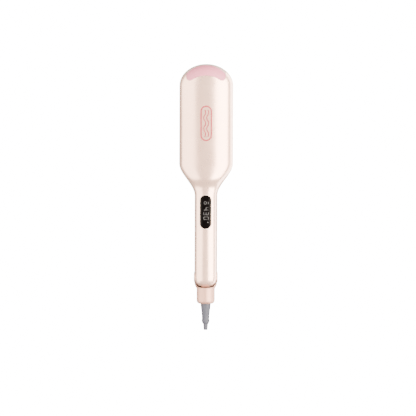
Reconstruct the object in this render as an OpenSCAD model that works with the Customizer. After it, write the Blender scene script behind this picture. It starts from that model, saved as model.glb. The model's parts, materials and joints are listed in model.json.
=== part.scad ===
// Hair waver: two hinged arms with interlocking wave plates, lying closed on its back.
// +Z is the front face, +Y points to the tip, X runs across the arms. Millimetres.

/* [Lengths along the tool] */
// Length of the wide head, from the end of the shoulders to the tip
head_len = 137; // [125:1:150]
// Length of the shoulders between head and handle
neck_len = 43.5; // [36:0.5:52]
// Length of the handle, from the shoulders to the hinge axis
handle_len = 112.5; // [104:0.5:130]
// Length of the tail, from the hinge axis to the end of the cuff
tail_len = 36.8; // [35:0.2:44]
// Length of the cord boot outside the cuff
boot_len = 36.2; // [30:0.2:44]
// Length of the rounded tip, from the widest place to the end
tip_round = 29.8; // [26:0.1:33]

/* [Arms] */
// Width of the head
head_w = 74; // [72:0.5:84]
// Width of the handle
handle_w = 31.2; // [31.2:0.2:34]
// Height of the front arm over the seam at the head
front_head_h = 23; // [22:0.5:27]
// Height of the front arm over the seam along the handle
front_handle_h = 16; // [16:0.1:18]
// Depth of the rear arm under the seam
rear_h = 17; // [17:0.1:20]
// Wall of both covers
wall = 2; // [1.6:0.1:2.1]
// Gap between the arms at the seam
seam_gap = 1.4; // [1:0.1:1.8]
// Squareness of the cross-section of the front arm and the handle
arm_square = 2.4; // [2.4:0.1:3]
// Squareness of the rear arm's cross-section at the head
rear_head_square = 3.2; // [3:0.1:4]
// Thickness of the inner liners
liner_t = 2; // [1.6:0.1:2.4]
// Clearance between pieces that fit together
fit = 0.15; // [0.1:0.05:0.2]

/* [Wave plates] */
// Distance from the sides of the plates to the sides of the head
plate_side_gap = 4.7; // [4.6:0.1:8]
// Number of waves across the plates
wave_count = 2.5; // [2.5:1:4.5]
// Height of a ridge over the seam
wave_amp = 6; // [4:0.5:6]
// Length of the plates
plate_len = 100; // [80:1:102]
// Distance from the plates to the tip
plate_tip_gap = 31; // [31:0.5:40]
// Thickness of the web behind the valleys
plate_web = 2.6; // [2:0.1:2.6]
// Wall of the hollow ridges
ridge_wall = 2.6; // [2:0.1:3.2]
// Thickness of the heaters
heater_t = 2.4; // [1.8:0.1:2.4]

/* [Display] */
// Width of the display window
display_w = 14.4; // [12:0.2:16]
// Length of the display window
display_len = 45.3; // [36:0.1:48]
// Distance from the shoulders to the display window
display_gap = 0.5; // [0.5:0.5:8]
// How far the window stands proud of the handle
display_proud = 0.3; // [0.1:0.05:0.5]

/* [Buttons] */
// Diameter of the button caps
button_d = 7; // [6:0.2:8]
// Distance between the buttons
button_pitch = 15; // [11:0.5:16]
// Travel of a button
button_travel = 0.5; // [0.3:0.05:0.6]

/* [Tip pads] */
// Width of the crescent pads over the tips
pad_w = 53.8; // [44:0.2:58]
// Distance from the tip to the inner edge of a pad
pad_depth = 16.6; // [14:0.1:18]
// Rise of a pad's inner arc over its ends
pad_rise = 5.4; // [4:0.1:8]
// Width of a pad's ends
pad_end_w = 8.6; // [7:0.1:9.4]
// Radius of a pad's rounded ends
pad_round = 4.4; // [2:0.1:4.8]

/* [Hinge] */
// Diameter of the hinge pin
pin_d = 6; // [5:0.1:6]
// Diameter of the round caps over the hinge
cap_d = 15.2; // [14:0.2:16]
// How far the caps stand out of the handle's sides
cap_proud = 0.7; // [0.4:0.1:1.2]
// Opening angle of the arms
open_angle = 24; // [16:1:24]
// Half width of the fixed hinge core
core_half_w = 9.3; // [8.5:0.1:9.5]
// Thickness of the front arm's hinge lugs
lug_t = 2.6; // [2:0.1:2.8]
// Radius of the hinge lugs
lug_r = 6.2; // [5:0.1:6.4]
// Running clearance around pins and journals
run = 0.05; // [0.03:0.01:0.08]

/* [Tail and cord boot] */
// Diameter of the tail cuff
cuff_d = 25; // [24:0.5:27]
// Width of the gap between front arm and tail housing
tail_gap = 1.5; // [1.2:0.1:1.7]
// Width of the mouth that the tail housing opens under the front arm's end
mouth_w = 23.6; // [18:0.2:24]
// Rise of the mouth's rim from its middle to its ends
mouth_rise = 2.3; // [2:0.1:4]
// Diameter of the swivel's neck
neck_d = 14.6; // [13:0.1:15]
// Diameter of the boot where it leaves the cuff
boot_d = 14; // [12:0.1:14.4]
// Diameter of the boot's waist
boot_waist_d = 10.3; // [9:0.1:11]
// Diameter of the boot's nose
nose_d = 6.4; // [6:0.1:7]
// Diameter of the cord bore
cord_d = 4.2; // [3.4:0.1:4.4]

/* [Hidden] */
$fn = 64;

// Clearances: between faces that touch, around pieces dropped in, around pieces left free
seat_gap = 0.1;
drop_in = 0.2;
slack = 0.3;
// Overlap of forms joined into one solid, and how far a cutter runs past a face
bite = 0.01;
past = 1;

// Stations along the tool, from the middle of its length
tip_y = (head_len + neck_len + handle_len + tail_len + boot_len) / 2;
tip_mid_y = tip_y - tip_round;
head_end_y = tip_y - head_len;
neck_end_y = head_end_y - neck_len;
hinge_y = neck_end_y - handle_len;
cuff_end_y = hinge_y - tail_len;
boot_end_y = cuff_end_y - boot_len;
plate_mid_y = tip_y - plate_tip_gap - plate_len / 2;
rise_start = 6.5;
rise_len = 19;
seam_z = rear_h;
half_gap = seam_gap / 2;
liner_in = wall + 2 * fit;
liner_z = seam_z + half_gap;
behind_liner = half_gap + liner_t + seat_gap;

// Cross-sections
rear_flat = 0.4;
tail_square = 2.1;
rear_end_len = 8.3;
rear_end_y = hinge_y - rear_end_len;
rear_blend = rear_end_len + 4;
tip_spine = 0.4;
tip_drop = 1.2;
pad_start_y = tip_mid_y + 2;
pad_drop = 1.4;
pad_low = behind_liner + 0.5;
// Facets of a ring, and rings along each stretch
ring_steps = 32;
neck_steps = 13;
tip_steps = 14;
end_steps = 4;

// Tail end of the front arm, turned about the hinge axis
end_lift = 8;
end_angle = open_angle + end_lift;
trim_angle = 55;

function smooth01(t) = let (c = min(1, max(0, t))) c * c * (3 - 2 * c);
function mix(a, b, t) = a + (b - a) * t;
function half_w(y) = mix(handle_w, head_w, smooth01((y - neck_end_y) / neck_len)) / 2;
function front_h(y) = mix(front_handle_h, front_head_h, smooth01((y - neck_end_y - rise_start) / rise_len));
function rear_square(y) = mix(arm_square, rear_head_square, smooth01((y - neck_end_y) / neck_len));
// Height of a superelliptic arch over its base at distance x from the middle
function arch(x, w, h, n) = h * pow(max(0, 1 - pow(min(1, abs(x) / w), n)), 1 / n);

// A ring is [half width, outline y, spine y, height, reach, squareness, angle].
// Its points run from the left seam over the spine to the right seam.
function tail_ring(a, off) =
    [handle_w / 2 - off, hinge_y, hinge_y, front_handle_h - off, front_handle_h - off, arm_square, a];
front_ring = function (y, off) [half_w(y) - off, y, y, front_h(y) - off, 0, arm_square, 90];
rear_ring = function (y, off)
    let (t = smooth01((rear_end_y + rear_blend - y) / rear_blend))
    [half_w(y) - off, y, y, mix(rear_h + rear_flat, handle_w / 2, t) - off, 0,
        mix(rear_square(y), tail_square, t), 90];
function tip_ring(a, off, h, n) =
    [(head_w / 2 - off) * sin(a), tip_mid_y + (tip_round - off) * cos(a),
        tip_mid_y + tip_spine * tip_round * cos(a), h - off - tip_drop * cos(a), 0, n, 90];

function ring_point(ring, a) =
    let (side = pow(abs(sin(a)), 2 / ring[5]), crown = pow(max(0, cos(a)), 2 / ring[5]))
    [ring[0] == 0 ? 0 : sign(a) * ring[0] * side,
        ring[2] + (ring[1] - ring[2]) * side - ring[4] * crown * cos(ring[6]),
        max(half_gap, ring[3] * crown * sin(ring[6]))];
function ring_points(ring, m) = [for (i = [0:m]) ring_point(ring, i == m ? 90 : -90 + 180 * i / m)];

tail_angles = [for (i = [0:end_steps - 1]) mix(trim_angle, 90, i / end_steps)];
trim_angles = [for (i = [0:end_steps]) mix(end_angle, trim_angle, i / end_steps)];
neck_ys = [for (i = [0:neck_steps]) neck_end_y + neck_len * i / neck_steps];
tip_angles = [for (i = [1:tip_steps]) 90 * (1 - i / tip_steps)];

front_tip_ring = function (a, off) tip_ring(a, off, front_head_h, arm_square);
rear_tip_ring = function (a, off) tip_ring(a, off, rear_h + rear_flat, rear_head_square);
front_rings = function (off) concat(
    [for (a = tail_angles) tail_ring(a, off)],
    [front_ring(hinge_y, off)],
    [for (y = neck_ys) front_ring(y, off)],
    [front_ring(tip_mid_y, off)],
    [for (a = tip_angles) front_tip_ring(a, off)]
);
rear_rings = function (off) concat(
    [for (i = [0:end_steps]) rear_ring(rear_end_y + rear_blend * i / end_steps, off)],
    [for (y = neck_ys) rear_ring(y, off)],
    [rear_ring(tip_mid_y, off)],
    [for (a = tip_angles) rear_tip_ring(a, off)]
);
pad_rings = function (ring, tip, off) concat([ring(pad_start_y, off)],
    [for (a = tip_angles) if (tip_mid_y + tip_round * cos(a) > pad_start_y + 1) tip(a, off)]);

function same(t) = t[0] == t[1] || t[1] == t[2] || t[0] == t[2];
function tris(list) = [for (t = list) if (!same(t)) t];
// Points that coincide share one number: the seam of tail rings and the two halves of a tip ring
function grid_id(first, m, k, i, rings, poles) =
    let (closed = rings[k][0] == 0 && i > m / 2, j = closed ? m - i : i)
    (k < poles && (j == 0 || j == m)) ? first + poles * (m + 1) + j : first + k * (m + 1) + j;

// One closed skin with an outer and an inner surface, along rings of the same stations
module skin(outer, inner, poles = 0, flip = false, low = 0) {
    last = len(outer) - 1;
    m = ring_steps;
    n = ring_steps / 2;
    raw = concat([for (r = outer) each ring_points(r, m)], [for (r = inner) each ring_points(r, n)]);
    first_in = (last + 1) * (m + 1);
    points = [for (i = [0:len(raw) - 1]) let (p = raw[i])
        flip ? [p[0], p[1], max(i < first_in ? 0 : low, seam_z - p[2])] : [p[0], p[1], seam_z + p[2]]];
    function o(k, i) = grid_id(0, m, k, i, outer, poles);
    function q(k, i) = grid_id(first_in, n, k, i, inner, poles);
    out_faces = [for (k = [0:last - 1], i = [0:m - 1])
        each [[o(k, i), o(k + 1, i), o(k + 1, i + 1)], [o(k, i), o(k + 1, i + 1), o(k, i + 1)]]];
    in_faces = [for (k = [0:last - 1], i = [0:n - 1])
        each [[q(k, i), q(k + 1, i + 1), q(k + 1, i)], [q(k, i), q(k, i + 1), q(k + 1, i + 1)]]];
    rim_faces = [for (k = [0:last - 1]) each [
        [o(k, 0), q(k, 0), q(k + 1, 0)], [o(k, 0), q(k + 1, 0), o(k + 1, 0)],
        [o(k, m), q(k + 1, n), q(k, n)], [o(k, m), o(k + 1, m), q(k + 1, n)]]];
    function cap(k) = [for (j = [0:n - 1]) each [
        [o(k, 2 * j), o(k, 2 * j + 1), q(k, j)], [o(k, 2 * j + 1), o(k, 2 * j + 2), q(k, j + 1)],
        [o(k, 2 * j + 1), q(k, j + 1), q(k, j)]]];
    far = outer[last][0] == 0 ? [] : [for (t = cap(last)) [t[0], t[2], t[1]]];
    faces = tris(concat(out_faces, in_faces, rim_faces, cap(0), far));
    polyhedron(points, flip ? [for (t = faces) [t[0], t[2], t[1]]] : faces);
}

// Plan outline of the arms, drawn in by off, from y0 to the tip
module outline(off, y0) {
    ys = concat([y0], [for (y = neck_ys) if (y > y0) y]);
    right = concat([for (y = ys) [half_w(y) - off, y]],
        [for (a = concat([90], tip_angles))
            [(head_w / 2 - off) * sin(a), tip_mid_y + (tip_round - off) * cos(a)]]);
    left = [for (i = [len(right) - 2:-1:0]) [-right[i][0], right[i][1]]];
    polygon(concat(right, left));
}

// A cylinder along X, and one along Y
module along_x(r, x0, x1) {
    translate([x0, 0, 0]) rotate([0, 90, 0]) cylinder(r = r, h = x1 - x0);
}
module along_y(r, y0, y1) {
    translate([0, y0, 0]) rotate([-90, 0, 0]) cylinder(r = r, h = y1 - y0);
}
// A box between two corners
module block(a, b) {
    translate(a) cube(b - a);
}
module both_sides() {
    children();
    mirror([1, 0, 0]) children();
}
module at_hinge() {
    translate([0, hinge_y, seam_z]) children();
}
// Turns a profile of [x, radius] points about the X axis
module turn_about_x(profile) {
    rotate([0, 90, 0]) rotate_extrude() polygon([for (p = profile) [p[1], p[0]]]);
}
// Turns a profile of [y, radius] points about the Y axis
module turn_about_y(profile) {
    rotate([-90, 0, 0]) rotate_extrude() polygon([for (p = profile) [p[1], p[0]]]);
}

// Crescent over the tip, seen from the front; it runs past the outline, round the edge
module crescent(grow = 0) {
    chord = pad_w / 2 - pad_end_w;
    arc_r = (chord * chord + pad_rise * pad_rise) / (2 * pad_rise);
    low_y = tip_y - pad_depth - pad_rise - pad_drop;
    offset(delta = grow) offset(r = pad_round) offset(delta = -pad_round) difference() {
        translate([-pad_w / 2, low_y]) square([pad_w, tip_y + head_w / 2 - low_y]);
        translate([0, tip_y - pad_depth - arc_r]) circle(r = arc_r, $fn = 96);
    }
}

// Stadium with its long axis along Y
module stadium(w, l) {
    hull() for (s = [-1, 1]) translate([0, s * (l - w) / 2]) circle(d = w);
}

// Screws: one holds the head frame, one the handle liner, in both arms
screw_r = 1.1;
screw_len = 5;
screw_head_r = 2.4;
screw_head_h = 1.1;
screw_sink = 0.1;
screw_ys = [neck_end_y + 14, hinge_y + 22];
recess_len = 2.6;
recess_w = 0.6;
recess_depth = 0.7;
boss_r = 3;
boss_bite = 0.4;

module screw() {
    difference() {
        union() {
            cylinder(r = screw_head_r, h = screw_head_h);
            translate([0, 0, screw_head_h - bite]) cylinder(r = screw_r, h = screw_len);
        }
        for (turn = [0, 90]) rotate([0, 0, turn])
            block([-recess_len / 2, -recess_w / 2, -past], [recess_len / 2, recess_w / 2, recess_depth]);
    }
}

// Bosses stand on the inside of a cover, whose inner heights are given
module bosses(heights) {
    for (i = [0:len(screw_ys) - 1]) translate([0, screw_ys[i], behind_liner]) difference() {
        cylinder(r = boss_r, h = heights[i] - behind_liner + boss_bite);
        translate([0, 0, -past]) cylinder(r = screw_r + run, h = screw_len + past);
    }
}

display_mid_y = neck_end_y - display_gap - display_len / 2;
cap_r = cap_d / 2;
cap_seat = 2.4;

module cap_holes() {
    at_hinge() both_sides() along_x(cap_r + drop_in, handle_w / 2 - wall - cap_seat, handle_w);
}

module front_cover() {
    color("#ecdfd8") difference() {
        union() {
            skin(front_rings(0), front_rings(wall), poles = len(tail_angles));
            translate([0, 0, seam_z]) bosses([for (y = screw_ys) front_h(y) - wall]);
        }
        translate([0, display_mid_y, seam_z + front_handle_h / 2])
            linear_extrude(front_handle_h) stadium(display_w + 2 * fit, display_len + 2 * fit);
        translate([0, 0, seam_z + pad_low])
            linear_extrude(front_head_h) crescent(fit);
        cap_holes();
    }
}

module front_end_trim() {
    color("#e0cbc0") difference() {
        skin([for (a = trim_angles) tail_ring(a, 0)], [for (a = trim_angles) tail_ring(a, wall)],
            poles = len(trim_angles) - 1);
        cap_holes();
    }
}

module front_tip_pad() {
    color("#e3c2c4") intersection() {
        skin(pad_rings(front_ring, front_tip_ring, 0), pad_rings(front_ring, front_tip_ring, wall));
        translate([0, 0, seam_z + pad_low]) linear_extrude(front_head_h) crescent();
    }
}

module rear_cover() {
    color("#ecdfd8") difference() {
        union() {
            skin(rear_rings(0), rear_rings(wall), flip = true, low = wall);
            translate([0, 0, seam_z]) mirror([0, 0, 1]) bosses([for (y = screw_ys) rear_h - wall]);
        }
        translate([0, 0, -past]) linear_extrude(seam_z - pad_low + past) crescent(fit);
        cap_holes();
    }
}

module rear_tip_pad() {
    color("#e3c2c4") intersection() {
        skin(pad_rings(rear_ring, rear_tip_ring, 0), pad_rings(rear_ring, rear_tip_ring, wall),
            flip = true, low = wall);
        translate([0, 0, -past]) linear_extrude(seam_z - pad_low + past) crescent();
    }
}

// Wave plates: each is held by its two flanges behind the head frame
plate_half_w = head_w / 2 - plate_side_gap;
wave_pitch = 2 * plate_half_w / wave_count;
flange_w = 1.8;
flange_t = 2;
web_z = wave_amp + half_gap + plate_web;
ridge_side = 4.5;
ridge_floor = 2;
wave_steps = 50;
hollow_steps = 16;

// The wave between the plates, as a height over the seam
function wave(x) = wave_amp * cos(360 * x / wave_pitch);

// Profile of a plate: its waved face at height side * half_gap from the wave
module plate_profile(side) {
    flange_x = plate_half_w + flange_w;
    xs = [for (i = [0:wave_steps]) mix(-plate_half_w, plate_half_w, i / wave_steps)];
    face = [for (x = xs) [x, wave(x) + side * half_gap]];
    edge = [
        [plate_half_w, side * behind_liner], [flange_x, side * behind_liner],
        [flange_x, side * (behind_liner + flange_t)], [plate_half_w, side * (behind_liner + flange_t)],
        [plate_half_w, side * web_z]
    ];
    back = [for (i = [len(edge) - 1:-1:0]) [-edge[i][0], edge[i][1]]];
    polygon(concat(face, edge, back));
}

// Hollow inside the ridge at x, closed by the web
module ridge_hollow(x, side) {
    reach = wave_pitch / 2 - ridge_side;
    floor_z = side * (web_z - ridge_floor);
    dxs = [for (i = [0:hollow_steps]) mix(-reach, reach, i / hollow_steps)];
    polygon(concat([for (dx = dxs) [x + dx, wave(x + dx) + side * (half_gap + ridge_wall)]],
        [[x + reach, floor_z], [x - reach, floor_z]]));
}

module along_plate(len) {
    translate([0, plate_mid_y + len / 2, seam_z]) rotate([90, 0, 0]) linear_extrude(len) children();
}

module front_wave_plate() {
    color("#c8a9a2") along_plate(plate_len) difference() {
        plate_profile(1);
        for (s = [-1, 1]) ridge_hollow(s * wave_pitch / 2, 1);
    }
}

module rear_wave_plate() {
    color("#c8a9a2") along_plate(plate_len) difference() {
        plate_profile(-1);
        for (s = [-1:1]) ridge_hollow(s * wave_pitch, -1);
    }
}

// Liners close the arms at the seam and carry the plates, buttons and lugs
lug_x = core_half_w + 0.4;
lug_foot = 4;
liner_tail_y = hinge_y + front_handle_h + 1;
split_y = neck_end_y + 8;
button_r = button_d / 2;
button_back = 24;
button_ys = [for (i = [-1:1]) display_mid_y - button_back + i * button_pitch];

// A liner lies on its seam face, where the screw heads sink in
module liner_with_screws() {
    difference() {
        linear_extrude(liner_t) difference() {
            children();
            for (y = screw_ys) translate([0, y]) circle(r = screw_r + fit);
        }
        for (y = screw_ys) translate([0, y, -past])
            cylinder(r = screw_head_r + fit, h = past + screw_sink + screw_head_h + seat_gap);
    }
}

module head_frame() {
    liner_with_screws() difference() {
        outline(liner_in, split_y + fit);
        translate([-plate_half_w - slack, plate_mid_y - plate_len / 2 - slack])
            square([2 * (plate_half_w + slack), plate_len + 2 * slack]);
    }
}

module handle_liner() {
    liner_with_screws() intersection() {
        outline(liner_in, liner_tail_y);
        translate([-head_w / 2, liner_tail_y]) square([head_w, split_y - liner_tail_y]);
    }
}

module in_front_arm() {
    translate([0, 0, liner_z]) children();
}

module in_rear_arm() {
    translate([0, 0, seam_z - half_gap]) mirror([0, 0, 1]) children();
}

module front_head_frame() {
    color("#3a3534") in_front_arm() head_frame();
}

module front_handle_liner() {
    color("#3a3534") difference() {
        union() {
            in_front_arm() handle_liner();
            both_sides() {
                at_hinge() along_x(lug_r, lug_x, lug_x + lug_t);
                block([lug_x, hinge_y, liner_z],
                    [lug_x + lug_t, liner_tail_y + lug_foot, liner_z + lug_r - half_gap]);
            }
        }
        at_hinge() both_sides() along_x(pin_d / 2 + run, lug_x - past, lug_x + lug_t + past);
        for (y = button_ys) translate([0, y, liner_z - past])
            cylinder(r = button_r + drop_in, h = liner_t + 2 * past);
    }
}

module rear_head_frame() {
    color("#3a3534") in_rear_arm() head_frame();
}

module rear_handle_liner() {
    color("#3a3534") in_rear_arm() handle_liner();
}

module front_screws() {
    color("#9a9a9c") in_front_arm() for (y = screw_ys) translate([0, y, screw_sink]) screw();
}

module rear_screws() {
    color("#9a9a9c") in_rear_arm() for (y = screw_ys) translate([0, y, screw_sink]) screw();
}

// Soft pads on the rear head frame keep the arms a seam apart
closing_pad_r = 3;
closing_pad_x = 15;
closing_pad_tip = 17;

module closing_pads() {
    color("#6d6664") both_sides() translate([closing_pad_x, tip_y - closing_pad_tip, seam_z - half_gap])
        cylinder(r = closing_pad_r, h = seam_gap - slack);
}

// Heaters lie on the webs, carriers press them on
heater_half_w = plate_half_w - 3.5;
heater_len = plate_len - 8;
carrier_half_w = 25;
carrier_t = 1.2;
carrier_bar = 5;
post_r = 2.6;
post_x = 18;
post_y = heater_len / 2 - post_r;
foot_half_w = 3;
foot_half_len = 2;
foot_x = 10;

module heater() {
    translate([-heater_half_w, plate_mid_y - heater_len / 2, 0])
        cube([2 * heater_half_w, heater_len, heater_t]);
}

module front_heater() {
    color("#b5b2ad") translate([0, 0, seam_z + web_z]) heater();
}

module rear_heater() {
    color("#b5b2ad") translate([0, 0, seam_z - web_z - heater_t]) heater();
}

module carrier_frame() {
    window_len = (heater_len - 4 * carrier_bar) / 3;
    linear_extrude(carrier_t) difference() {
        translate([-carrier_half_w, plate_mid_y - heater_len / 2]) square([2 * carrier_half_w, heater_len]);
        for (i = [-1:1]) translate([0, plate_mid_y + i * (window_len + carrier_bar)])
            square([2 * (carrier_half_w - carrier_bar), window_len], center = true);
    }
}

module front_carrier() {
    base_z = seam_z + web_z + heater_t;
    cover_z = seam_z + arch(post_x + post_r, head_w / 2 - wall, front_head_h - wall, arm_square);
    color("#8c8275") {
        translate([0, 0, base_z]) carrier_frame();
        for (sx = [-1, 1], sy = [-1, 1])
            translate([sx * post_x, plate_mid_y + sy * post_y, base_z + carrier_t - bite])
                cylinder(r = post_r, h = cover_z - slack - base_z - carrier_t);
    }
}

module rear_carrier() {
    base_z = seam_z - web_z - heater_t - carrier_t;
    color("#8c8275") {
        translate([0, 0, base_z]) carrier_frame();
        for (sx = [-1, 1], sy = [-1, 1]) translate([sx * foot_x, plate_mid_y + sy * post_y, 0])
            block([-foot_half_w, -foot_half_len, wall], [foot_half_w, foot_half_len, base_z + bite]);
    }
}

// Sensors lie on the front heater, in the carrier's windows
thermistor_r = 1.5;
thermistor_len = 9;
fuse_r = 2;
fuse_len = 12;
fuse_x = 8;

module thermistor() {
    color("#d8d0b8") translate([0, plate_mid_y, seam_z + web_z + heater_t + thermistor_r + seat_gap])
        along_y(thermistor_r, -thermistor_len / 2, thermistor_len / 2);
}

module thermal_fuse() {
    window_mid_y = plate_mid_y - (heater_len - carrier_bar) / 3;
    color("#c9c9c9") translate([fuse_x, window_mid_y, seam_z + web_z + heater_t + fuse_r + seat_gap])
        along_y(fuse_r, -fuse_len / 2, fuse_len / 2);
}

wire_r = 1.1;
wire_x = 5;
wire_tail = 4;
module wires(z, from_y) {
    color("#b03a35") for (x = [-wire_x, wire_x]) translate([x, 0, z])
        along_y(wire_r, from_y, plate_mid_y - heater_len / 2 - drop_in);
}

module front_wires() {
    wires(seam_z + web_z + heater_t / 2, neck_end_y - wire_tail);
}

module rear_wires() {
    wires(seam_z - web_z - heater_t / 2, hinge_y + core_len + drop_in);
}

// Curved display window, flush in the front cover
lens_t = 1.8;
lens_steps = 16;

module display_window() {
    reach = display_w / 2 + past;
    xs = [for (i = [0:lens_steps]) mix(-reach, reach, i / lens_steps)];
    crown = [for (x = xs) arch(x, handle_w / 2, front_handle_h, arm_square)];
    color("#15130f") intersection() {
        translate([0, display_mid_y + display_len, seam_z]) rotate([90, 0, 0]) linear_extrude(2 * display_len)
            polygon(concat([for (i = [0:lens_steps]) [xs[i], crown[i] + display_proud]],
                [for (i = [lens_steps:-1:0]) [xs[i], crown[i] - lens_t]]));
        translate([0, display_mid_y, seam_z])
            linear_extrude(2 * front_handle_h) stadium(display_w, display_len);
    }
}

// Control board under the display, with its connector at the tail end
board_z = seam_z + 7.6;
board_t = 1.6;
board_half_w = 10.5;
board_tail_y = hinge_y + 27;
board_head_y = neck_end_y - 2;
connector_half_w = 7;
connector_len = 12;
connector_h = 2.4;
module_half_w = 5.4;
module_len = 37;

module display_module() {
    lens_z = seam_z + arch(display_w / 2, handle_w / 2, front_handle_h, arm_square) - lens_t;
    color("#2c3a33") translate([0, display_mid_y, 0])
        block([-module_half_w, -module_len / 2, board_z + board_t],
            [module_half_w, module_len / 2, lens_z - seat_gap]);
}

module control_board() {
    low_y = board_tail_y + 4;
    top_z = board_z + board_t;
    color("#2f6b4b") {
        block([-board_half_w, board_tail_y, board_z], [board_half_w, board_head_y, top_z]);
        block([-connector_half_w, low_y, top_z - bite],
            [connector_half_w, low_y + connector_len, top_z + connector_h]);
    }
}

// Tact switches hang from the board over the buttons
switch_h = 3.4;
switch_half_w = 3;
plunger_r = 1.7;
plunger_h = 1.2;

module tact_switches() {
    color("#4a4a4c") for (y = button_ys) translate([0, y, board_z]) {
        block([-switch_half_w, -switch_half_w, plunger_h - switch_h], [switch_half_w, switch_half_w, 0]);
        translate([0, 0, -switch_h]) cylinder(r = plunger_r, h = plunger_h + bite);
    }
}

// Buttons sit in the front liner and face the rear arm; each has its sign sunk in the domed end
button_edge = 0.5;
button_flange = 0.9;
sign_len = 3.6;
sign_line = 0.7;
sign_depth = 0.4;

module button(y) {
    low_z = liner_z + drop_in;
    flange_z = liner_z + liner_t + seat_gap;
    top_z = board_z - switch_h - button_travel - seat_gap;
    dome = [for (a = [0:30:90]) [button_r - button_edge * (1 - sin(a)), low_z + button_edge * (1 - cos(a))]];
    translate([0, y, 0]) difference() {
        rotate_extrude() polygon(concat([[0, low_z]], dome,
            [[button_r, flange_z], [button_r + button_flange, flange_z],
            [button_r + button_flange, top_z], [0, top_z]]));
        translate([0, 0, low_z - past]) linear_extrude(past + sign_depth) children();
    }
}

module sign_bar(len) {
    square([sign_line, len], center = true);
}

module power_button() {
    ring_r = sign_len / 2;
    color("#cfc4bf") button(button_ys[0]) {
        difference() {
            circle(r = ring_r);
            circle(r = ring_r - sign_line);
            translate([0, ring_r]) square(2 * sign_line, center = true);
        }
        translate([0, ring_r - sign_line / 2]) sign_bar(ring_r);
    }
}

module plus_button() {
    color("#cfc4bf") button(button_ys[2]) for (turn = [0, 90]) rotate(turn) sign_bar(sign_len);
}

module minus_button() {
    color("#cfc4bf") button(button_ys[1]) rotate(90) sign_bar(sign_len);
}

// Fixed barrel of the hinge, with a wire channel and a foot in the rear cover
core_len = 14;
core_clear = 0.6;
core_steps = 4;
foot_side = 1.1;
foot_clear = 0.6;
channel_roof = 3;

module hinge_core() {
    w = handle_w / 2 - wall;
    half_foot = core_half_w - foot_side;
    channel_x = wire_x + wire_r + drop_in;
    shares = [for (i = [-core_steps:core_steps]) i / core_steps];
    barrel = [for (t = shares)
        [core_half_w * t, arch(core_half_w * t, w, front_handle_h - wall, arm_square) - core_clear]];
    foot = [for (t = shares) [half_foot * t, foot_clear - arch(half_foot * t, w, w, tail_square)]];
    color("#e0cbc0") difference() {
        union() {
            at_hinge() turn_about_x(concat([[-core_half_w, 0]], barrel, [[core_half_w, 0]]));
            translate([0, hinge_y + core_len, seam_z]) rotate([90, 0, 0])
                linear_extrude(core_len + rear_end_len)
                    polygon(concat(foot, [[half_foot, -half_gap - past], [-half_foot, -half_gap - past]]));
        }
        at_hinge() along_x(pin_d / 2 + run, -core_half_w - past, core_half_w + past);
        block([-core_half_w - past, hinge_y - front_handle_h, -past],
            [core_half_w + past, rear_end_y, seam_z - half_gap]);
        block([-channel_x, rear_end_y - past, wall],
            [channel_x, hinge_y + core_len + past, seam_z - pin_d / 2 - channel_roof]);
    }
}

module hinge_pin() {
    end_x = lug_x + lug_t + drop_in;
    color("#b9babd") at_hinge() along_x(pin_d / 2, -end_x, end_x);
}

// Caps cover the pin's ends and turn with the front arm
cap_flange = 0.5;
cap_taper = 1.6;
cap_taper_len = 2.6;
cap_edge = 0.7;

module hinge_caps() {
    x0 = lug_x + lug_t + slack;
    x1 = handle_w / 2 + cap_proud;
    color("#e6d6cd") at_hinge() both_sides() turn_about_x([
        [x0, 0], [x0, pin_d / 2], [x0 + cap_flange, pin_d / 2], [x0 + cap_flange, cap_r - cap_taper],
        [x1 - cap_taper_len, cap_r], [x1 - cap_edge, cap_r], [x1 - drop_in, cap_r - cap_edge],
        [x1, cap_r - cap_taper], [x1, 0]
    ]);
}

// Tail housing: a flared cuff around the arms' round end, with the swivel's chamber
cuff_r = cuff_d / 2;
cuff_wall = 3.3;
flare_len = 7.5;
flare_steps = 6;
mouth_steps = 8;
ring_len = 4.4;
ring_y = cuff_end_y + ring_len;
chamber_wall = 2.6;
chamber_y = hinge_y - front_handle_h - tail_gap - chamber_wall;
chamber_r = cuff_r - cuff_wall;

// The space that the front arm's round end sweeps, and the way out above it, with a flatter mouth
module tail_sweep() {
    w = handle_w / 2;
    far = 2 * handle_w;
    end = [for (a = [-90:9:90]) let (x = w * sin(a)) [x, arch(x, w, front_handle_h, arm_square)]];
    profile = concat([[-w - tail_gap, 0]], [for (p = end) [p[0], p[1] + tail_gap]], [[w + tail_gap, 0]]);
    plan = concat([[-w - tail_gap, far], [-w - tail_gap, 0]],
        [for (p = end) [p[0], -p[1] * cos(end_angle) - tail_gap]],
        [[w + tail_gap, 0], [w + tail_gap, far]]);
    mouth = [for (i = [-mouth_steps:mouth_steps]) let (t = i / mouth_steps)
        [mouth_w / 2 * t, mouth_rise * t * t - front_handle_h * cos(end_angle) - tail_gap]];
    intersection() {
        turn_about_x(profile);
        block([-far, -far, -half_gap], [far, far, far]);
    }
    translate([0, 0, -half_gap]) linear_extrude(far) {
        polygon(plan);
        polygon(concat([[-mouth_w / 2, 0]], mouth, [[mouth_w / 2, 0]]));
    }
}

module tail_housing() {
    flare = handle_w / 2 - cuff_r;
    outside = [for (i = [0:flare_steps]) let (t = i / flare_steps)
        [rear_end_y - flare_len * t, cuff_r + flare * (1 - pow(t, 1.5))]];
    color("#e3d1c8") difference() {
        translate([0, 0, seam_z])
            turn_about_y(concat([[rear_end_y, 0]], outside, [[ring_y, cuff_r], [ring_y, 0]]));
        at_hinge() tail_sweep();
        translate([0, 0, seam_z]) along_y(chamber_r, ring_y - past, chamber_y);
    }
}

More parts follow.
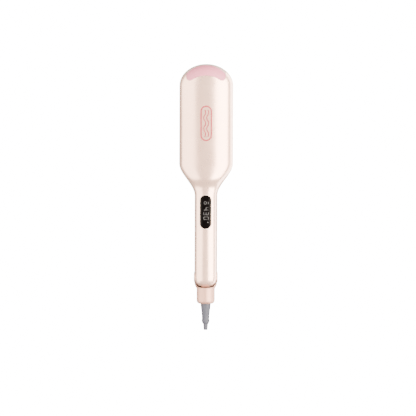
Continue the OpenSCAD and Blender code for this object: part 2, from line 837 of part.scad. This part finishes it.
// Domed ring that closes the cuff around the swivel's neck
ring_lip = 0.6;
module retaining_ring() {
    inner = neck_d / 2 + run;
    dome = [for (a = [0:15:90])
        [ring_y - (ring_len - drop_in) * sin(a), mix(inner + ring_lip, cuff_r - drop_in, cos(a))]];
    color("#e3d1c8") translate([0, 0, seam_z]) turn_about_y(
        concat([[ring_y, inner]], dome, [[cuff_end_y, inner + ring_lip], [cuff_end_y, inner]]));
}

// Swivel: a head that turns in the chamber, held by its flange, with two slip rings and the boot
body_r = 6.4;
body_gap = 0.4;
flange_len = 2.8;
flange_y = ring_y + flange_len;
stub_r = 4.2;
stub_len = 6;
slip_r = 8;
slip_t = 1.8;
slip_pitch = 2.8;
slip_ys = [for (i = [0:1]) flange_y + 1 + i * slip_pitch];
brush_half_w = 1.2;

module swivel_head() {
    top_y = chamber_y - body_gap;
    color("#4b474a") translate([0, 0, seam_z]) difference() {
        turn_about_y([
            [top_y, 0], [top_y, body_r], [flange_y, body_r], [flange_y, chamber_r - run],
            [ring_y + fit, chamber_r - run], [ring_y + fit, neck_d / 2], [cuff_end_y, neck_d / 2],
            [cuff_end_y, stub_r], [cuff_end_y - stub_len, stub_r], [cuff_end_y - stub_len, 0]
        ]);
        along_y(cord_d / 2, boot_end_y, chamber_y - 2);
    }
}

module slip_rings() {
    color("#c79a4b") translate([0, 0, seam_z]) for (y = slip_ys) difference() {
        along_y(slip_r, y, y + slip_t);
        along_y(body_r, y - past, y + slip_t + past);
    }
}

module contact_brushes() {
    color("#a8763a") for (y = slip_ys)
        block([-brush_half_w, y + drop_in, seam_z + slip_r + seat_gap],
            [brush_half_w, y + slip_t - drop_in, seam_z + chamber_r - seat_gap]);
}

module cord_boot() {
    start = boot_d / 2;
    waist = boot_waist_d / 2;
    nose = nose_d / 2;
    // Radii at shares of the boot's length, from the cuff over a fine step and the waist to the nose
    outside = [
        [0, start], [0.06, start - 0.1], [0.17, mix(waist, start, 0.7)], [0.31, mix(waist, start, 0.32)],
        [0.385, mix(waist, start, 0.22)], [0.39, mix(waist, start, 0.1)], [0.46, mix(waist, start, 0.08)],
        [0.57, waist], [0.64, waist + 0.3], [0.69, waist], [0.73, mix(nose, waist, 0.7)],
        [0.775, nose + 0.15], [0.93, nose - 0.2], [0.98, nose - 0.5], [1, nose - 0.9]
    ];
    color("#a3a1a8") translate([0, 0, seam_z]) difference() {
        turn_about_y(concat([[cuff_end_y, 0]],
            [for (p = outside) [cuff_end_y - boot_len * p[0], p[1]]], [[boot_end_y, 0]]));
        along_y(stub_r, cuff_end_y - stub_len, cuff_end_y + past);
        along_y(cord_d / 2, boot_end_y - past, cuff_end_y);
    }
}

front_cover();
front_end_trim();
front_tip_pad();
front_head_frame();
front_handle_liner();
front_wave_plate();
front_heater();
front_carrier();
thermistor();
thermal_fuse();
display_window();
display_module();
control_board();
tact_switches();
front_wires();
front_screws();
power_button();
plus_button();
minus_button();
rear_cover();
rear_tip_pad();
rear_head_frame();
rear_handle_liner();
rear_wave_plate();
rear_heater();
rear_carrier();
closing_pads();
rear_wires();
rear_screws();
hinge_core();
hinge_pin();
hinge_caps();
tail_housing();
retaining_ring();
contact_brushes();
swivel_head();
slip_rings();
cord_boot();
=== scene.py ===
import json
import math

import bpy
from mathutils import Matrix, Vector


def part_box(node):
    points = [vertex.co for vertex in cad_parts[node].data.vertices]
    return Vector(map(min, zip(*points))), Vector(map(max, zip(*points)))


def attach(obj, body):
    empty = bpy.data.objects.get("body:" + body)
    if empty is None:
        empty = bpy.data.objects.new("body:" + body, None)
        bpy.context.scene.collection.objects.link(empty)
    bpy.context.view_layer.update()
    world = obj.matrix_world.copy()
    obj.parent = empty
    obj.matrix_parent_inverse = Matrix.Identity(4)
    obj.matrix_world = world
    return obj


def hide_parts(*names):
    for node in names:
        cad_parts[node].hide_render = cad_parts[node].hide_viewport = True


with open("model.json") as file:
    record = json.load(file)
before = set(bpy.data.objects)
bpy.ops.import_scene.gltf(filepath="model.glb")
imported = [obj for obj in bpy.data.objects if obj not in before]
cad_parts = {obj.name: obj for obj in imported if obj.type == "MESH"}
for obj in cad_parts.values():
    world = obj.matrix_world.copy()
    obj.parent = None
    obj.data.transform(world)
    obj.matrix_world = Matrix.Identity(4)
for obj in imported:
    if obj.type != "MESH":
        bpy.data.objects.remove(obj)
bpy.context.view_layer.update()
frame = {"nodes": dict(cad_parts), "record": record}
nodes = frame["nodes"]
record = frame["record"]
slotOf = {part["node"]: part["material_slot"] for part in record["subparts"]}
bodyOf = {name: body for body, members in record["behaviour"]["bodies"].items() for name in members}
seamHeight = 0.017  # the plane between the closed arms
print("frame loaded:", len(nodes), "nodes")


# Screen colours from 0 to 255, made linear as Blender's sockets take them.
def tint(red, green, blue):
    def linear(value):
        value = value / 255
        return value / 12.92 if value <= 0.04045 else ((value + 0.055) / 1.055) ** 2.4
    return (linear(red), linear(green), linear(blue), 1)


class Wire:
    # One socket of a node tree; sums and products of wires add Math nodes.
    def __init__(self, tree, socket):
        self.tree = tree
        self.socket = socket

    def combine(self, operation, *values):
        return addNode(self.tree, "ShaderNodeMath", {"operation": operation}, dict(enumerate(values)))

    def __add__(self, other):
        return self.combine("ADD", self, other)

    def __radd__(self, other):
        return self.combine("ADD", other, self)

    def __sub__(self, other):
        return self.combine("SUBTRACT", self, other)

    def __rsub__(self, other):
        return self.combine("SUBTRACT", other, self)

    def __mul__(self, other):
        return self.combine("MULTIPLY", self, other)

    def __rmul__(self, other):
        return self.combine("MULTIPLY", other, self)

    def __abs__(self):
        return self.combine("ABSOLUTE", self)

    def smooth(self, low, high):
        return addNode(self.tree, "ShaderNodeMapRange", {"interpolation_type": "SMOOTHSTEP"},
                       {"Value": self, "From Min": low, "From Max": high})


def socketOf(sockets, key):
    # A Mix node has several sockets of one name, so it is asked by identifier.
    if isinstance(key, int):
        return sockets[key]
    return next(entry for entry in sockets if key in (entry.identifier, entry.name))


def addNode(tree, kind, settings, inputs, output=0):
    node = tree.nodes.new(kind)
    for name, value in settings.items():
        setattr(node, name, value)
    for key, value in inputs.items():
        socket = socketOf(node.inputs, key)
        if isinstance(value, Wire):
            tree.links.new(value.socket, socket)
        else:
            socket.default_value = value
    return Wire(tree, socketOf(node.outputs, output))


def objectPlace(material):
    return addNode(material.node_tree, "ShaderNodeTexCoord", {}, {}, "Object")


def along(material, axis):
    return addNode(material.node_tree, "ShaderNodeSeparateXYZ", {}, {"Vector": objectPlace(material)}, axis)


def mixColors(factor, first, second):
    return addNode(factor.tree, "ShaderNodeMix", {"data_type": "RGBA"},
                   {"Factor_Float": factor, "A_Color": first, "B_Color": second}, "Result_Color")


def grain(place, scale, detail=3):
    return addNode(place.tree, "ShaderNodeTexNoise", {}, {"Vector": place, "Scale": scale, "Detail": detail})


def smudges(place, scale, amount):
    return amount * (grain(place, scale) - 0.5)  # a noise swings about 0.5


def bumpFrom(height, strength, distance):
    return addNode(height.tree, "ShaderNodeBump", {},
                   {"Height": height, "Strength": strength, "Distance": distance})


coatRoughness = 0.06


def shaderOf(material):
    return material.node_tree.nodes["Principled BSDF"]


def newMaterial(name, color, roughness, metallic=0, coat=0, specular=0.5):
    material = bpy.data.materials.new(name)
    material.use_nodes = True
    constants = {"Base Color": color, "Roughness": roughness, "Metallic": metallic, "Coat Weight": coat,
                 "Coat Roughness": coatRoughness, "Specular IOR Level": specular}
    for key, value in constants.items():
        shaderOf(material).inputs[key].default_value = value
    return material


def plug(wire, material, name):
    wire.tree.links.new(wire.socket, shaderOf(material).inputs[name])


# Pearly blush plastic: faint drifts of colour, a fine pearl grain and a trace of clear coat.
# The tail's satin has the same pattern, duller and without the coat, and its darker tones are painted shade
# on the cuff.
pearlLook = {"roughness": 0.28, "metallic": 0.72, "coat": 0.05}
satinLook = {"roughness": 0.45, "metallic": 0.5, "coat": 0}
pearlPattern = {"driftScale": 14, "driftDetail": 2, "driftSpan": (0.35, 0.7), "drift": 0.5,
                "flakeScale": 900, "flakeDetail": 1, "flakeSpan": (0.5, 0.75), "flakes": 0.25,
                "smudgeScale": 60, "smudges": 0.08, "bump": 0.05, "bumpDistance": 0.00002}


def pearlMaterial(name, look, base, warm, pearl):
    material = newMaterial(name, base, look["roughness"], look["metallic"], look["coat"])
    place = objectPlace(material)
    pattern = pearlPattern
    drift = grain(place, pattern["driftScale"], pattern["driftDetail"])
    flakes = grain(place, pattern["flakeScale"], pattern["flakeDetail"])
    color = mixColors(drift.smooth(*pattern["driftSpan"]) * pattern["drift"], base, warm)
    color = mixColors(flakes.smooth(*pattern["flakeSpan"]) * pattern["flakes"], color, pearl)
    plug(color, material, "Base Color")
    uneven = smudges(place, pattern["smudgeScale"], pattern["smudges"])
    plug(look["roughness"] + uneven, material, "Roughness")
    plug(bumpFrom(flakes, pattern["bump"], pattern["bumpDistance"]), material, "Normal")
    return material


# All other finishes: two near tones in a noise of the given scale, with a fine bump.
plainPattern = {"span": (0.35, 0.65), "smudgeFiner": 3, "smudges": 0.12, "bumpDistance": 0.00005}


def plainMaterial(name, color, second, scale, roughness, metallic=0, coat=0, bump=0.2, specular=0.5):
    material = newMaterial(name, color, roughness, metallic, coat, specular)
    place = objectPlace(material)
    pattern = grain(place, scale)
    plug(mixColors(pattern.smooth(*plainPattern["span"]), color, second), material, "Base Color")
    uneven = smudges(place, scale * plainPattern["smudgeFiner"], plainPattern["smudges"])
    plug(roughness + uneven, material, "Roughness")
    plug(bumpFrom(pattern, bump, plainPattern["bumpDistance"]), material, "Normal")
    return material


# After the tones: the pattern's scale and the roughness, then metal where there is some.
materials = {
    "blush_shell": pearlMaterial("blushPearl", pearlLook,
                                 tint(240, 199, 178), tint(236, 192, 170), tint(248, 218, 202)),
    # The satin's tones are the blush darkened: painted shade on the cuff.
    "blush_satin_shaded": pearlMaterial("blushSatinShaded", satinLook,
                                 tint(186, 142, 125), tint(178, 133, 115), tint(201, 160, 143)),
    "blush_trim": pearlMaterial("blushTrim", pearlLook,
                                tint(226, 184, 165), tint(219, 174, 154), tint(236, 204, 190)),
    "cool_pad": plainMaterial("coolPadRose", tint(189, 110, 130), tint(181, 101, 122), 700, 0.5, bump=0.15),
    "liner": plainMaterial("linerCharcoal", tint(52, 48, 47), tint(44, 41, 40), 900, 0.5),
    "plate_coating": plainMaterial("plateRoseCeramic", tint(200, 160, 150), tint(190, 150, 140), 500, 0.22,
                                   0.35, coat=0.3),
    "heater": plainMaterial("heaterFoil", tint(180, 178, 172), tint(165, 163, 158), 200, 0.4, 0.9),
    "carrier": plainMaterial("carrierGlassFilled", tint(140, 130, 118), tint(126, 117, 106), 800, 0.6),
    "sensor": plainMaterial("sensorCeramic", tint(216, 208, 184), tint(205, 196, 170), 900, 0.5),
    "fuse": plainMaterial("fuseCan", tint(200, 200, 200), tint(186, 186, 186), 400, 0.35, 0.9),
    "display_black": plainMaterial("displayGlassBlack", tint(5, 4, 4), tint(8, 6, 6), 300, 0.16,
                                   bump=0.02, specular=0),
    "display_module": plainMaterial("moduleGreen", tint(44, 58, 51), tint(38, 50, 44), 600, 0.6),
    "board": plainMaterial("boardLacquer", tint(47, 107, 75), tint(38, 92, 62), 350, 0.35, coat=0.3),
    "switch": plainMaterial("switchGrey", tint(74, 74, 76), tint(64, 64, 66), 900, 0.55),
    "wire": plainMaterial("wireSilicone", tint(176, 58, 53), tint(160, 50, 46), 800, 0.5),
    "screw_steel": plainMaterial("screwZinc", tint(154, 154, 156), tint(140, 140, 143), 500, 0.3, 0.95),
    "pin_steel": plainMaterial("pinGround", tint(185, 186, 189), tint(170, 171, 175), 700, 0.25, 0.95),
    "button_cap": plainMaterial("buttonCapBlush", tint(214, 203, 198), tint(206, 194, 189), 700, 0.3,
                                coat=0.4, bump=0.08),
    "pad_rubber": plainMaterial("padRubber", tint(109, 102, 100), tint(98, 91, 90), 900, 0.7),
    "contact_copper": plainMaterial("brushCopper", tint(168, 118, 58), tint(150, 100, 48), 600, 0.35, 0.9),
    "slip_brass": plainMaterial("slipBrass", tint(199, 154, 75), tint(184, 140, 66), 500, 0.25, 0.95),
    "swivel_plastic": plainMaterial("swivelGrey", tint(75, 71, 74), tint(66, 62, 65), 800, 0.5),
    "boot_grey": plainMaterial("bootGrey", tint(61, 63, 73), tint(55, 57, 66), 900, 0.65,
                               bump=0.15, specular=0.3),
}

glassEdges = {"inner": 0.0052, "outer": 0.0074, "coat": 0.02, "more": 0.2}


def glazeEdges(material, edges):
    # The glass reflects at its rounded sides and stays deep black over the figures.
    side = abs(along(material, "X")).smooth(edges["inner"], edges["outer"])
    plug(edges["coat"] + edges["more"] * side, material, "Coat Weight")


# The taupe is darker than the housing: painted shade on the pad's steep lower walls.
padShadeSkirt = {"color": tint(178, 152, 144), "low": 0.0127, "high": 0.0132}


def shadeSkirt(material, settings):
    # Round the tip the pad's lower walls have the housing's tone, darkened as painted shade, so a thin shaded
    # edge frames the rose.
    upper = abs(along(material, "Z") - seamHeight).smooth(settings["low"], settings["high"])
    rose = Wire(material.node_tree, shaderOf(material).inputs["Base Color"].links[0].from_socket)
    plug(mixColors(upper, settings["color"], rose), material, "Base Color")


glazeEdges(materials["display_black"], glassEdges)
shadeSkirt(materials["cool_pad"], padShadeSkirt)
finishOf = dict(slotOf, tail_housing="blush_satin_shaded", retaining_ring="blush_satin_shaded")
for name, solid in nodes.items():
    solid.data.materials.clear()
    solid.data.materials.append(materials[finishOf[name]])
print("finishes given to", len(nodes), "nodes")


# Moulded pieces: merged copies of the CAD skins, shaded smooth, with edges softened by the width given.
mouldings = {"front_cover": 0, "front_end_trim": 0, "front_tip_pad": 0, "rear_cover": 0, "rear_tip_pad": 0,
             "front_wave_plate": 0.0002, "rear_wave_plate": 0.0002,
             "front_handle_liner": 0.0002, "rear_handle_liner": 0.0002,
             "front_head_frame": 0.0002, "rear_head_frame": 0.0002,
             "tail_housing": 0.0002, "retaining_ring": 0.0002, "hinge_core": 0.0002, "hinge_caps": 0.0003,
             "display_window": 0.0002, "power_button": 0.00008, "plus_button": 0.00008,
             "minus_button": 0.00008, "cord_boot": 0.0003, "swivel_head": 0.0003}
moulding = {"merge": 0.00002, "smoothAngle": 28, "flatAngle": 0.5, "bevelAngle": 38, "segments": 2}


def selectOnly(piece):
    bpy.ops.object.select_all(action="DESELECT")
    piece.select_set(True)
    bpy.context.view_layer.objects.active = piece


def applyModifier(piece, kind, **settings):
    modifier = piece.modifiers.new(kind.lower(), kind)
    for name, value in settings.items():
        setattr(modifier, name, value)
    selectOnly(piece)
    bpy.ops.object.modifier_apply(modifier=modifier.name)


def edit():
    bpy.ops.object.mode_set(mode="EDIT")


def editAll():
    edit()
    bpy.ops.mesh.select_all(action="SELECT")


def leaveEdit():
    bpy.ops.object.mode_set(mode="OBJECT")


def mergedCopy(name, pieceName):
    # A copy of a CAD skin with its doubles merged, left in edit mode with all selected.
    piece = nodes[name].copy()
    piece.data = nodes[name].data.copy()
    piece.name = pieceName
    piece.parent = None
    for key in list(piece.keys()):
        del piece[key]
    bpy.context.scene.collection.objects.link(piece)
    piece.hide_viewport = False
    piece.hide_render = False
    piece.hide_set(False)
    selectOnly(piece)
    editAll()
    bpy.ops.mesh.remove_doubles(threshold=moulding["merge"])
    return piece


def mouldedCopy(name, width):
    piece = mergedCopy(name, name.replace("_", "-") + "-moulded")
    if width:
        bpy.ops.mesh.dissolve_limited(angle_limit=math.radians(moulding["flatAngle"]))
    leaveEdit()
    if width:
        applyModifier(piece, "BEVEL", width=width, segments=moulding["segments"], limit_method="ANGLE",
                      angle_limit=math.radians(moulding["bevelAngle"]), use_clamp_overlap=True)
    selectOnly(piece)
    bpy.ops.object.shade_smooth_by_angle(angle=math.radians(moulding["smoothAngle"]))
    applyModifier(piece, "WEIGHTED_NORMAL", keep_sharp=True)
    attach(piece, bodyOf[name])
    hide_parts(name)
    return piece


moulded = {name: mouldedCopy(name, width) for name, width in mouldings.items()}
print("moulded pieces finished:", len(moulded))

drawHeight = 0.06  # prints are drawn flat at this height, above the tool, and then laid on it
middleBand = 0.0001  # what lies this near to a circle's middle line belongs to neither half


def selectVertices(piece, keep):
    # The choice is made outside edit mode, which reads it on the way back in.
    leaveEdit()
    for vertex in piece.data.vertices:
        vertex.select = keep(vertex.co)
    for part in list(piece.data.edges) + list(piece.data.polygons):
        part.select = all(piece.data.vertices[index].select for index in part.vertices)
    edit()


def seat(piece):
    selectOnly(piece)
    bpy.ops.object.transform_apply(location=True, rotation=True, scale=True)


def joined(pieces, name):
    selectOnly(pieces[0])
    for piece in pieces:
        piece.select_set(True)
    bpy.ops.object.join()
    pieces[0].name = name
    seat(pieces[0])
    return pieces[0]


def stadium(middle, width, length, line, vertices):
    # A circle whose halves move apart, filled or cut down to a line.
    bpy.ops.object.select_all(action="DESELECT")
    bpy.ops.mesh.primitive_circle_add(vertices=vertices, radius=width / 2, fill_type="NGON",
                                      location=(middle[0], middle[1], drawHeight))
    piece = bpy.context.object
    reach = (length - width) / 2
    edit()
    if reach > 0:
        for side in (1, -1):
            selectVertices(piece, lambda spot: spot.y * side > middleBand)
            bpy.ops.transform.translate(value=(0, side * reach, 0))
    bpy.ops.mesh.select_all(action="SELECT")
    if line:
        bpy.ops.mesh.inset(thickness=line, use_boundary=True)
        bpy.ops.mesh.delete(type="FACE")
    leaveEdit()
    return piece


def layOn(piece, target, lift, cuts=0, thickness=0):
    selectOnly(piece)
    if cuts:
        editAll()
        bpy.ops.mesh.subdivide(number_cuts=cuts)
        leaveEdit()
    applyModifier(piece, "SHRINKWRAP", target=target, wrap_method="PROJECT", use_project_z=True,
                  use_negative_direction=True, use_positive_direction=False, offset=lift)
    if thickness:
        applyModifier(piece, "SOLIDIFY", thickness=thickness, offset=-1)


def finish(piece, body, material):
    piece.data.materials.clear()
    piece.data.materials.append(material)
    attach(piece, body)


# The head's print: an outline with two plain wavy strands in it.
headPrint = {"middle": (0.0007, 0.1008), "width": 0.016, "length": 0.0488, "line": 0.0019, "vertices": 64,
             "strandLine": 0.0014, "strandGap": 0.0042, "strandReach": 0.0185, "bends": 5, "bendAngle": 80,
             "bendSteps": 8, "lift": 0.00004, "cuts": 3, "thickness": 0.00005}
printRose = plainMaterial("printRose", tint(146, 46, 62), tint(137, 41, 55), 900, 0.55, specular=0.1)


def strand(offset, settings):
    # Each bend is a spin of the end edge about the next centre, on alternate sides.
    angle = math.radians(settings["bendAngle"])
    chord = 2 * settings["strandReach"] / settings["bends"]
    radius = chord / 2 / math.sin(angle / 2)
    sag = radius * math.cos(angle / 2)
    tilt = math.atan2(chord / 2, sag)
    x = settings["middle"][0] + offset
    top = settings["middle"][1] + settings["strandReach"]
    half = settings["strandLine"] / 2
    start = (x - math.sin(tilt) * half, top + math.cos(tilt) * half, drawHeight)
    bpy.ops.object.select_all(action="DESELECT")
    bpy.ops.mesh.primitive_plane_add(size=2 * half, rotation=(0, 0, tilt), location=start)
    piece = bpy.context.object
    edit()
    selectVertices(piece, lambda spot: spot.y > 0)
    bpy.ops.mesh.delete(type="VERT")
    leaveEdit()
    seat(piece)
    editAll()
    for bend in range(settings["bends"]):
        side = 1 - 2 * (bend % 2)
        bpy.ops.mesh.spin(steps=settings["bendSteps"], angle=side * angle, axis=(0, 0, 1),
                          center=(x - side * sag, top - (bend + 0.5) * chord, drawHeight))
    leaveEdit()
    return piece


outline = stadium(headPrint["middle"], headPrint["width"], headPrint["length"], headPrint["line"],
                  headPrint["vertices"])
strands = [strand(share * headPrint["strandGap"], headPrint) for share in (-0.5, 0.5)]
headMark = joined([outline] + strands, "head-print")
layOn(headMark, moulded["front_cover"], headPrint["lift"], headPrint["cuts"], headPrint["thickness"])
finish(headMark, "front_arm", printRose)

# The lit figures: segment bars, a ring and a dash, read with the tool's tip to the left.
figures = {"text": "430", "middleX": 0.0007, "firstY": -0.0162, "pitch": 0.0065, "width": 0.0044,
           "height": 0.0072, "stroke": 0.0008, "gap": 0.0003, "chamfer": 0.3, "lift": 0.00003, "cuts": 4,
           "ringStroke": 0.00064, "ringVertices": 20, "degree": (0.0033, -0.0349, 0.0017),
           "iconRing": (-0.0004, -0.0082, 0.0042), "iconDash": (0.0036, -0.0082, 0.0034)}
figureGlow = plainMaterial("figureGlow", tint(50, 50, 52), tint(43, 43, 45), 900, 0.6)
segmentsOf = {"0": "abcdef", "3": "abcdg", "4": "bcfg"}
# Where a segment stands: right in shares of the width, up in shares of half the height, and if it is upright.
segmentPlaces = {"a": (0, 1, False), "d": (0, -1, False), "g": (0, 0, False), "b": (0.5, 0.5, True),
                 "c": (0.5, -0.5, True), "e": (-0.5, -0.5, True), "f": (-0.5, 0.5, True)}


def bar(x, y, lengthX, lengthY, settings):
    bpy.ops.object.select_all(action="DESELECT")
    bpy.ops.mesh.primitive_plane_add(size=1, location=(x, y, drawHeight))
    piece = bpy.context.object
    bpy.ops.transform.resize(value=(lengthX, lengthY, 1))
    seat(piece)
    editAll()
    bpy.ops.mesh.bevel(offset=settings["stroke"] * settings["chamfer"], segments=1, affect="VERTICES")
    leaveEdit()
    return piece


def figure(sign, place, settings):
    width, height, gap, stroke = (settings[key] for key in ("width", "height", "gap", "stroke"))
    bars = []
    for name in segmentsOf[sign]:
        right, up, upright = segmentPlaces[name]
        x = settings["middleX"] + up * (height - stroke) / 2
        y = place - right * (width - stroke)
        if upright:
            bars.append(bar(x, y, (height - stroke) / 2 - gap, stroke, settings))
        else:
            bars.append(bar(x, y, stroke, width - stroke - gap, settings))
    return bars


signs = []
for index, sign in enumerate(figures["text"]):
    signs += figure(sign, figures["firstY"] - index * figures["pitch"], figures)
for x, y, size in (figures["degree"], figures["iconRing"]):
    signs.append(stadium((x, y), size, size, figures["ringStroke"], figures["ringVertices"]))
dashX, dashY, dashLength = figures["iconDash"]
signs.append(bar(dashX, dashY, figures["stroke"], dashLength, figures))
displayFigures = joined(signs, "display-figures")
layOn(displayFigures, moulded["display_window"], figures["lift"], figures["cuts"])
finish(displayFigures, "front_arm", figureGlow)

# A dark seal closes the joint round the window, and a slim pale rim stands outside it, its light tone a
# painted highlight round the window.
windowSeal = {"grow": 0.0003, "radius": 0.00038}
windowHighlightRim = {"grow": 0.001, "radius": 0.0003}
beadShape = {"sink": 0.0001, "vertices": 64, "cuts": 1, "roundness": 3}
rimPaintedHighlight = plainMaterial("rimPaintedHighlight", tint(238, 222, 214), tint(230, 213, 205), 900, 0.4, 0.1)


def beadRound(node, name, settings):
    # A bead round a window: its outline, laid on the cover and given a round section.
    low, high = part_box(node)
    bead = stadium(((low[0] + high[0]) / 2, (low[1] + high[1]) / 2), high[0] - low[0] + 2 * settings["grow"],
                   high[1] - low[1] + 2 * settings["grow"], 0, beadShape["vertices"])
    seat(bead)
    editAll()
    bpy.ops.mesh.delete(type="ONLY_FACE")
    bpy.ops.mesh.select_all(action="SELECT")
    bpy.ops.mesh.subdivide(number_cuts=beadShape["cuts"])
    leaveEdit()
    layOn(bead, moulded["front_cover"], -beadShape["sink"])
    bpy.ops.object.convert(target="CURVE")
    bpy.context.object.data.bevel_depth = settings["radius"]
    bpy.context.object.data.bevel_resolution = beadShape["roundness"]
    bpy.ops.object.convert(target="MESH")
    bead = bpy.context.object
    bead.name = name
    bpy.ops.object.shade_smooth()
    return bead


sealBead = beadRound("display_window", "display-seal", windowSeal)
finish(sealBead, "front_arm", materials["display_black"])
highlightRimBead = beadRound("display_window", "display-highlight-rim", windowHighlightRim)
finish(highlightRimBead, "front_arm", rimPaintedHighlight)

# Dark charcoal sheet on both sides of the tail's scoop, seen past the front arm's end: painted shade for the
# shadow in the gap.
scoopShadeLining = {"inner": 0.0058, "facing": 0.15, "thickness": 0.00012, "level": 0.016, "floor": 0.0175}
shadeCharcoal = plainMaterial("shadeCharcoal", tint(42, 34, 32), tint(35, 28, 26), 900, 0.7, specular=0.1)


def shadeLiningOf(name, pieceName, settings):
    # The copied skin is cut beside the middle and at its level, and only the scoop's walls and floor stay.
    piece = mergedCopy(name, pieceName)
    for side in (1, -1):
        bpy.ops.mesh.select_all(action="SELECT")
        bpy.ops.mesh.bisect(plane_co=(side * settings["inner"], 0, 0), plane_no=(1, 0, 0))
    bpy.ops.mesh.select_all(action="SELECT")
    bpy.ops.mesh.bisect(plane_co=(0, 0, settings["level"]), plane_no=(0, 0, 1), clear_inner=True)
    bpy.ops.mesh.select_mode(type="FACE")
    bpy.ops.mesh.select_all(action="DESELECT")
    leaveEdit()
    for face in piece.data.polygons:
        floor = face.normal.z > settings["facing"] and face.center.z < settings["floor"]
        inside = face.normal.y > settings["facing"] or floor
        face.select = not inside or abs(face.center.x) < settings["inner"]
    edit()
    bpy.ops.mesh.delete(type="FACE")
    bpy.ops.mesh.select_mode(type="VERT")
    leaveEdit()
    applyModifier(piece, "SOLIDIFY", thickness=settings["thickness"], offset=1)
    return piece


# The charcoal sheet is painted shade where the gap between the front arm and the tail lies in shadow.
shadeLining = shadeLiningOf("tail_housing", "scoop-lining", scoopShadeLining)
finish(shadeLining, "rear_arm", shadeCharcoal)
print("prints, figures, beads and lining laid on")

# Studio: a pale floor under the tool and two broad softboxes with a darker gap overhead.
# A low bright card to the right is seen only in the gloss of the tool's side.
studio = {"white": (1, 1, 1, 1), "paper": tint(252, 250, 249), "paperRoughness": 0.9, "world": 0.55}
floorPaper = {"low": -3, "high": 3, "length": 6, "level": -0.0003, "glow": 14,
              "unseenBy": ("diffuse", "glossy")}
bounceCard = {"low": 0.045, "high": 0.16, "length": 3, "level": -0.002, "glow": 6.5,
              "unseenBy": ("camera", "diffuse")}
softboxes = {"distance": 3, "length": 4, "warmth": (1, 0.9, 0.79)}
rightSpan = {"from": 16.5, "to": 76, "radiance": 20.5}
leftSpan = {"from": -100, "to": -21, "radiance": 7.6}


def addSheet(name, materialName, settings):
    # A glowing sheet of paper from one distance beside the tool to another.
    low, high = settings["low"], settings["high"]
    bpy.ops.object.select_all(action="DESELECT")
    bpy.ops.mesh.primitive_plane_add(size=1, location=((low + high) / 2, 0, settings["level"]))
    sheet = bpy.context.object
    sheet.name = name
    sheet.scale = (high - low, settings["length"], 1)
    material = newMaterial(materialName, studio["paper"], studio["paperRoughness"])
    shaderOf(material).inputs["Emission Color"].default_value = studio["white"]
    shaderOf(material).inputs["Emission Strength"].default_value = settings["glow"]
    sheet.data.materials.append(material)
    for ray in settings["unseenBy"]:
        setattr(sheet, "visible_" + ray, False)


def addSoftbox(name, span):
    # A broad panel along the tool, from one angle off the zenith to another.
    low, high = math.radians(span["from"]), math.radians(span["to"])
    start = Vector((math.sin(low), 0, math.cos(low))) * softboxes["distance"]
    end = Vector((math.sin(high), 0, math.cos(high))) * softboxes["distance"]
    data = bpy.data.lights.new(name, "AREA")
    data.shape = "RECTANGLE"
    data.size = (end - start).length
    data.size_y = softboxes["length"]
    data.energy = span["radiance"] * math.pi * data.size * data.size_y
    data.color = softboxes["warmth"]
    light = bpy.data.objects.new(name, data)
    light.location = (start + end) / 2
    light.rotation_euler = (0, (low + high) / 2, 0)
    light.visible_camera = False
    bpy.context.scene.collection.objects.link(light)


addSheet("studioFloor", "floorPaper", floorPaper)
addSheet("bounceCard", "cardPaper", bounceCard)
addSoftbox("rightSoftbox", rightSpan)
addSoftbox("leftSoftbox", leftSpan)
world = bpy.data.worlds.new("paleStudio")
world.use_nodes = True
world.node_tree.nodes["Background"].inputs["Color"].default_value = studio["white"]
world.node_tree.nodes["Background"].inputs["Strength"].default_value = studio["world"]
bpy.context.scene.world = world

# Camera nearly straight above: one pixel of the 416 pixel frame is 1.375 mm at the seam.
# It leans a little to the right, and the tool lies a little turned in its picture.
view = {"pixel": 0.001375, "frame": 416, "middle": (206.0, 197.0), "height": 6, "lean": 1.9, "turn": 0.19,
        "sensor": 36}
cameraData = bpy.data.cameras.new("topCamera")
camera = bpy.data.objects.new("topCamera", cameraData)
bpy.context.scene.collection.objects.link(camera)
camera.rotation_euler = (0, math.radians(view["lean"]), math.radians(view["turn"]))
offset = Vector(((view["frame"] / 2 - view["middle"][0]) * view["pixel"],
                 (view["middle"][1] - view["frame"] / 2) * view["pixel"], view["height"]))
camera.location = camera.rotation_euler.to_matrix() @ offset + Vector((0, 0, seamHeight))
cameraData.sensor_width = view["sensor"]
cameraData.lens = view["sensor"] * view["height"] / (view["frame"] * view["pixel"])
bpy.context.scene.camera = camera
print("camera and lights set")
